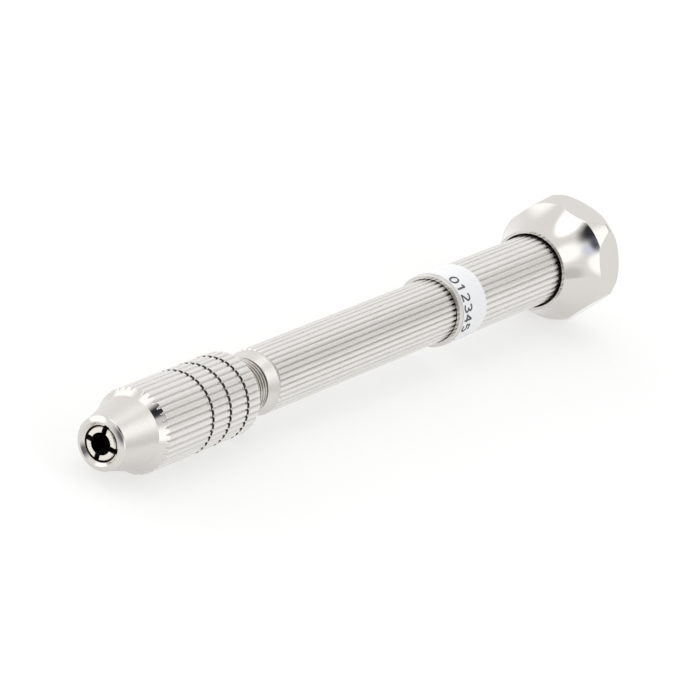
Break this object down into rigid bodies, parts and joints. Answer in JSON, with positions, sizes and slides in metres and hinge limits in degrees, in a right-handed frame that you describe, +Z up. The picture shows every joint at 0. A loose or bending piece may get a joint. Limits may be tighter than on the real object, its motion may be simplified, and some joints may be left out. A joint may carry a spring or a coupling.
{
  "type": "pin vise",
  "caption": "Slim hand chuck with a slotted collet under a knurled nose cap, a knurled two-part handle and a flared hexagonal head that swivels.",
  "frame": {"origin": "centre of the front collet's mouth, on the tool's axis", "axes": "+X along the tool's axis from the jaws to the swivel head, +Z up, with one flat of the head facing down"},
  "size_m": [0.1095, 0.0164, 0.0148],
  "materials": {
    "satin_nickel": "nickel-plated, satin, straight knurled",
    "polished_nickel": "nickel-plated, polished",
    "ground_steel": "hardened steel, ground",
    "washer_brass": "plain brass",
    "label_paper": "smooth white paper"
  },
  "bodies": {
    "barrel": {"barrel": "satin_nickel"},
    "front_collet": {"front_collet": "ground_steel"},
    "nose_cap": {"nose_cap": "satin_nickel"},
    "spare_collet": {"spare_collet": "ground_steel"},
    "sleeve": {"sleeve": "satin_nickel", "label": "label_paper", "thrust_washer": "washer_brass", "pivot_screw": "ground_steel"},
    "head": {"head": "polished_nickel"}
  },
  "joints": [
    {"name": "collet_travel", "type": "slide", "parent": "barrel", "child": "front_collet", "axis": [1, 0, 0], "range_m": [-0.004, 0.002]},
    {"name": "cap_turn", "type": "hinge", "parent": "front_collet", "child": "nose_cap", "pos_m": [0.01, 0, 0], "axis": [1, 0, 0], "range_deg": [-2881, 1441]},
    {"name": "spare_travel", "type": "slide", "parent": "barrel", "child": "spare_collet", "axis": [1, 0, 0], "range_m": [0, 0.004]},
    {"name": "sleeve_turn", "type": "hinge", "parent": "spare_collet", "child": "sleeve", "pos_m": [0.08, 0, 0], "axis": [1, 0, 0], "range_deg": [-1, 2881]},
    {"name": "head_spin", "type": "hinge", "parent": "sleeve", "child": "head", "pos_m": [0.1, 0, 0], "axis": [1, 0, 0], "continuous": true}
  ],
  "couplings": [
    {"joint": "cap_turn", "follows": "collet_travel", "rad_per_m": 12566},
    {"joint": "sleeve_turn", "follows": "spare_travel", "rad_per_m": 12566}
  ]
}
